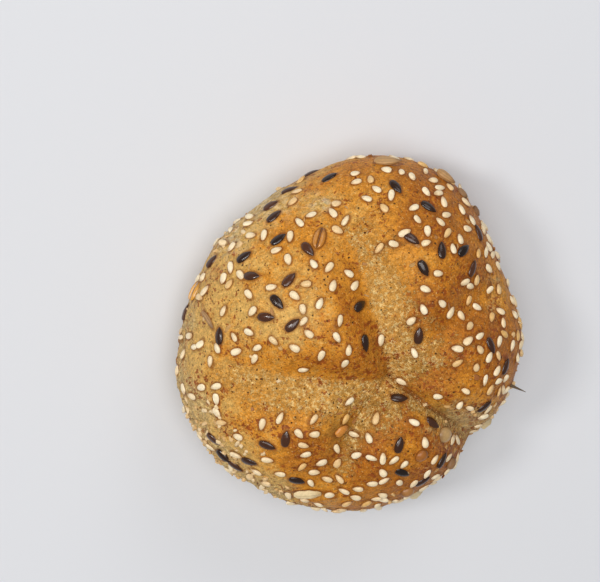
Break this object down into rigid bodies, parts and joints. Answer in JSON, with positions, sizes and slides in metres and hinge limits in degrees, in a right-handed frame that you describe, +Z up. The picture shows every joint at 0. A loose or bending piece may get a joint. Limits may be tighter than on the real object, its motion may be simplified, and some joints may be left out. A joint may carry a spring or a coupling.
{
  "type": "bread roll",
  "caption": "Round multigrain bread roll with a creased, lobed top and a flat underside, strewn with flax seeds and larger grains baked onto the crust.",
  "frame": {"origin": "middle of the flat base, at the bottom centre of the whole roll's bounding box", "axes": "+Z up through the crown, +X to the right and +Y to the far side of the roll when the two creases round its largest lobe open to the left and the far side"},
  "size_m": [0.0984, 0.103, 0.0506],
  "materials": {
    "barley_skin": "golden toasted grain piece",
    "bran_skin": "thin dry husk, brown with a pale edge",
    "flax_skin": "dark brown glossy seed skin",
    "flake_skin": "pale translucent flake",
    "millet_skin": "brown grain, matt",
    "oat_skin": "pale floury flake",
    "crust": "baked golden-brown crust, satin, rough and pale in the creases",
    "rye_skin": "tan round grain, matt",
    "sunflower_skin": "toasted kernel, satin",
    "wheat_skin": "amber grain skin, slightly glossy"
  },
  "bodies": {
    "root": {"barley_piece_golden": "barley_skin", "bran_husk": "bran_skin", "flax_seed_big_01": "flax_skin", "flax_seed_big_02": "flax_skin", "flax_seed_big_03": "flax_skin", "flax_seed_big_04": "flax_skin", "flax_seed_big_05": "flax_skin", "flax_seed_big_06": "flax_skin", "flax_seed_big_07": "flax_skin", "flax_seed_big_08": "flax_skin", "flax_seed_big_09": "flax_skin", "flax_seed_big_10": "flax_skin", "flax_seed_big_11": "flax_skin", "flax_seed_big_12": "flax_skin", "flax_seed_big_13": "flax_skin", "flax_seed_big_14": "flax_skin", "flax_seed_big_15": "flax_skin", "flax_seed_big_16": "flax_skin", "flax_seed_big_17": "flax_skin", "flax_seed_big_18": "flax_skin", "flax_seed_front_01": "flax_skin", "flax_seed_front_02": "flax_skin", "flax_seed_front_03": "flax_skin", "flax_seed_front_04": "flax_skin", "flax_seed_front_05": "flax_skin", "flax_seed_front_06": "flax_skin", "flax_seed_left_01": "flax_skin", "flax_seed_left_02": "flax_skin", "flax_seed_left_03": "flax_skin", "flax_seed_left_04": "flax_skin", "flax_seed_left_05": "flax_skin", "flax_seed_left_06": "flax_skin", "flax_seed_left_07": "flax_skin", "flax_seed_right_01": "flax_skin", "flax_seed_right_02": "flax_skin", "flax_seed_right_03": "flax_skin", "flax_seed_top_01": "flax_skin", "flax_seed_top_02": "flax_skin", "flax_seed_top_03": "flax_skin", "flax_seed_top_04": "flax_skin", "flax_seed_top_05": "flax_skin", "flax_seed_top_06": "flax_skin", "flax_seed_top_07": "flax_skin", "flax_seed_top_08": "flax_skin", "flax_seed_top_09": "flax_skin", "grain_flake_front": "flake_skin", "grain_flake_right": "flake_skin", "millet_grain": "millet_skin", "millet_grain_rim": "millet_skin", "millet_grain_top": "millet_skin", "oat_flake": "oat_skin", "roll": "crust", "rye_grain_brown": "rye_skin", "rye_grain_front": "rye_skin", "rye_grain_round": "rye_skin", "sunflower_husk_kernel": "sunflower_skin", "sunflower_kernel": "sunflower_skin", "wheat_kernel_creased": "wheat_skin", "wheat_kernel_left": "wheat_skin"}
  },
  "joints": []
}
